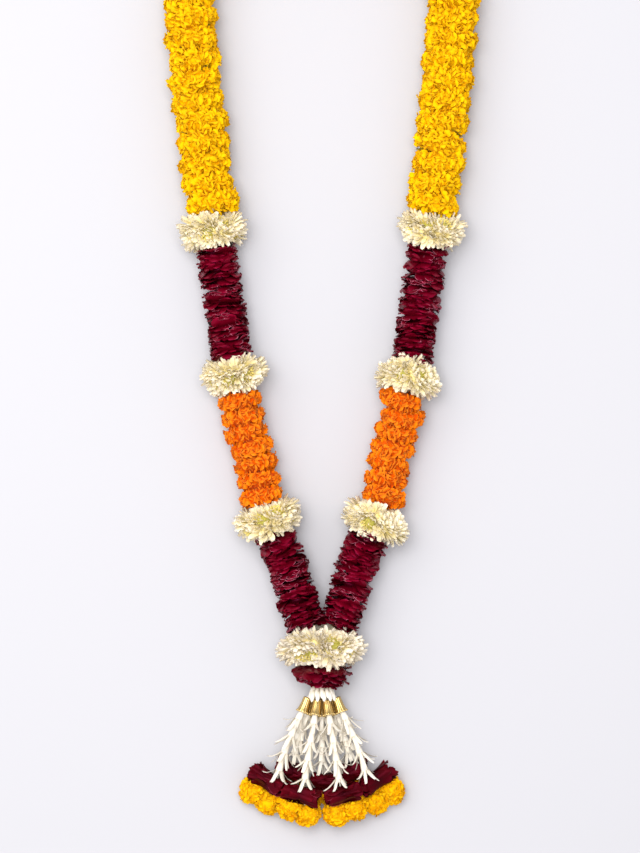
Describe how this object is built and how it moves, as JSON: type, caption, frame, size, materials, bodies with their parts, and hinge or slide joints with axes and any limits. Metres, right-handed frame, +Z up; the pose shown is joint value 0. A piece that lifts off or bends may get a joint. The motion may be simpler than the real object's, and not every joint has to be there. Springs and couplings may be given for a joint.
{
  "type": "marigold garland",
  "caption": "Looped wedding garland of strung marigolds, white chrysanthemum rings and rose petals, ending in a fanned tuberose tassel, laid flat.",
  "frame": {"origin": "bottom centre of the garland's box, on the surface that it lies on", "axes": "+Y from the tassel to the crown of the neck loop, +X to the right strand seen from above, +Z up from the surface"},
  "size_m": [0.3342, 1.0448, 0.0735],
  "materials": {
    "yellow_petals": "matte",
    "orange_petals": "matte",
    "white_petals": "matte",
    "rose_petals": "satin",
    "tuberose_petals": "satin",
    "gilt_metal": "polished",
    "cotton_string": "matte"
  },
  "bodies": {
    "root": {"yellow_marigolds_01": "yellow_petals", "yellow_marigolds_02": "yellow_petals", "yellow_marigolds_03": "yellow_petals", "yellow_marigolds_04": "yellow_petals", "yellow_marigolds_05": "yellow_petals", "yellow_marigolds_06": "yellow_petals", "yellow_marigolds_07": "yellow_petals", "yellow_marigolds_08": "yellow_petals", "yellow_marigolds_09": "yellow_petals", "yellow_marigolds_10": "yellow_petals", "yellow_marigolds_11": "yellow_petals", "yellow_marigolds_12": "yellow_petals", "yellow_marigolds_13": "yellow_petals", "yellow_marigolds_14": "yellow_petals", "orange_marigolds_right_lower": "orange_petals", "rose_petals_right_lower": "rose_petals", "orange_marigolds_right_upper": "orange_petals", "rose_petals_right_upper": "rose_petals", "chrysanthemum_ring_right_low": "white_petals", "chrysanthemum_ring_right_middle": "white_petals", "chrysanthemum_ring_right_high": "white_petals", "orange_marigolds_left_lower": "orange_petals", "rose_petals_left_lower": "rose_petals", "orange_marigolds_left_upper": "orange_petals", "rose_petals_left_upper": "rose_petals", "chrysanthemum_ring_left_low": "white_petals", "chrysanthemum_ring_left_middle": "white_petals", "chrysanthemum_ring_left_high": "white_petals", "chrysanthemum_ring_joining": "white_petals", "rose_petal_collar": "rose_petals", "tuberose_bud_neck": "tuberose_petals", "gold_cup_front_inner_right": "gilt_metal", "tuberose_strand_front_inner_right": "tuberose_petals", "petal_roll_front_inner_right": "rose_petals", "small_marigolds_front_inner_right": "yellow_petals", "gold_cup_front_inner_left": "gilt_metal", "tuberose_strand_front_inner_left": "tuberose_petals", "petal_roll_front_inner_left": "rose_petals", "small_marigolds_front_inner_left": "yellow_petals", "gold_cup_front_outer_right": "gilt_metal", "tuberose_strand_front_outer_right": "tuberose_petals", "petal_roll_front_outer_right": "rose_petals", "small_marigolds_front_outer_right": "yellow_petals", "gold_cup_front_outer_left": "gilt_metal", "tuberose_strand_front_outer_left": "tuberose_petals", "petal_roll_front_outer_left": "rose_petals", "small_marigolds_front_outer_left": "yellow_petals", "gold_cup_back_side_right": "gilt_metal", "tuberose_strand_back_side_right": "tuberose_petals", "petal_roll_back_side_right": "rose_petals", "small_marigolds_back_side_right": "yellow_petals", "gold_cup_back_side_left": "gilt_metal", "tuberose_strand_back_side_left": "tuberose_petals", "petal_roll_back_side_left": "rose_petals", "small_marigolds_back_side_left": "yellow_petals", "gold_cup_back_middle": "gilt_metal", "tuberose_strand_back_middle": "tuberose_petals", "petal_roll_back_middle": "rose_petals", "small_marigolds_back_middle": "yellow_petals", "garland_string": "cotton_string"}
  },
  "joints": []
}
